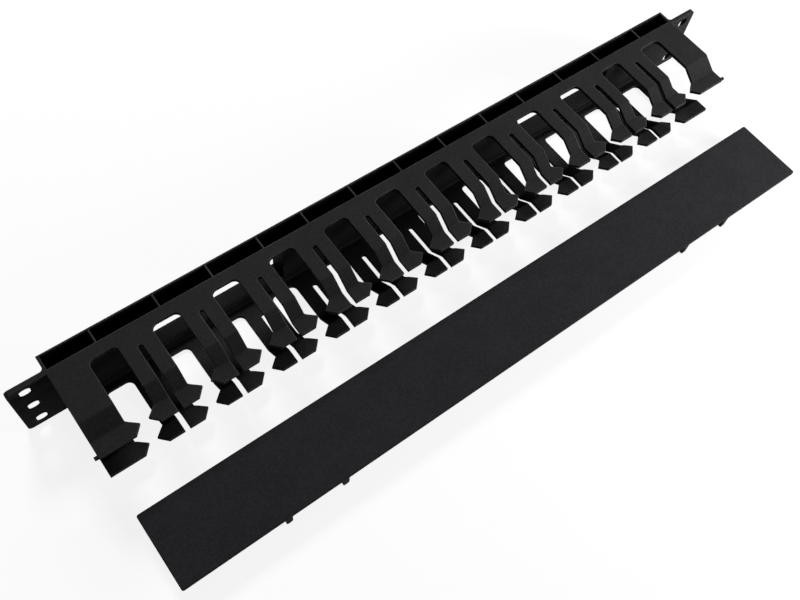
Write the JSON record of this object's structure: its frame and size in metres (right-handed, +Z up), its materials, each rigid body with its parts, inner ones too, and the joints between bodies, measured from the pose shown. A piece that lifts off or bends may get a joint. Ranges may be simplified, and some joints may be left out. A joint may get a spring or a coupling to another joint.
{
  "type": "horizontal rack cable manager",
  "caption": "Black plastic rack cable manager with slotted ears, a ribbed back with cable windows, two combs of split arrow-headed fingers and a flat clip-on cover.",
  "frame": {"origin": "centre of the rack slots, on the rear face of the ears", "axes": "+X along the rack to the user's right, -Y towards the user (the fingers point there), +Z up"},
  "size_m": [0.4826, 0.1318, 0.044],
  "materials": {
    "duct_plastic": "matte, moulded",
    "cover_plastic": "matte, fine grain"
  },
  "bodies": {
    "duct": {"finger_duct_base": "duct_plastic"},
    "cover": {"snap_cover": "cover_plastic"}
  },
  "joints": [
    {"name": "cover_lift", "type": "slide", "parent": "duct", "child": "cover", "axis": [0, 0, 1], "range_m": [0, 0.1]}
  ]
}
